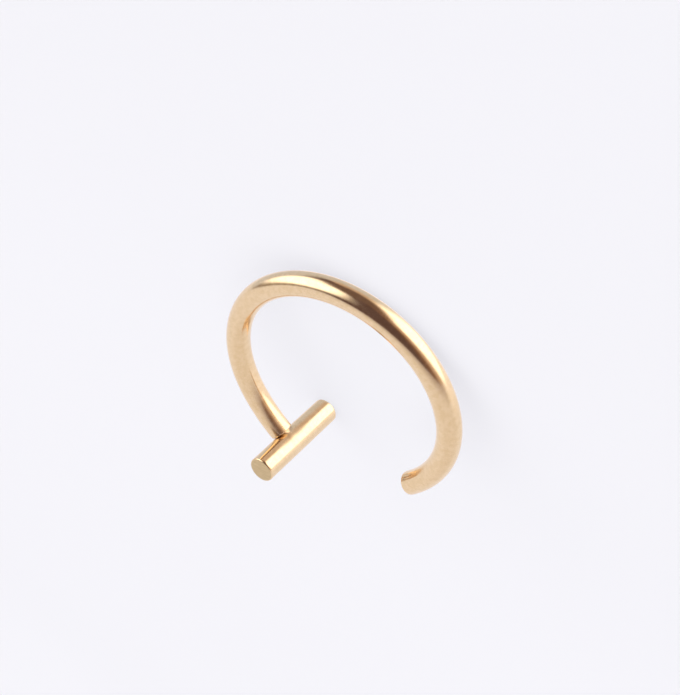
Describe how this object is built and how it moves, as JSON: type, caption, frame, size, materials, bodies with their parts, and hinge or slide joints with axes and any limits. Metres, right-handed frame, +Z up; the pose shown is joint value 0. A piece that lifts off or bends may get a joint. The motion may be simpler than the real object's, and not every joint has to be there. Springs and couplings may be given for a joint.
{
  "type": "clip-on lip ring",
  "caption": "Open hoop of polished gold round wire with a short round bar soldered square across one end and a plain cut at the other, for clipping on a lip.",
  "frame": {"origin": "middle of the ring's outline on the surface that it lies on", "axes": "+Z up from the surface, X along the line from the cut end to the bar, with the mouth of the hoop towards +Y"},
  "size_m": [0.0108, 0.0108, 0.0047],
  "materials": {
    "gold": "polished gold plate with faint brushing"
  },
  "bodies": {
    "root": {"lip_ring": "gold"}
  },
  "joints": []
}
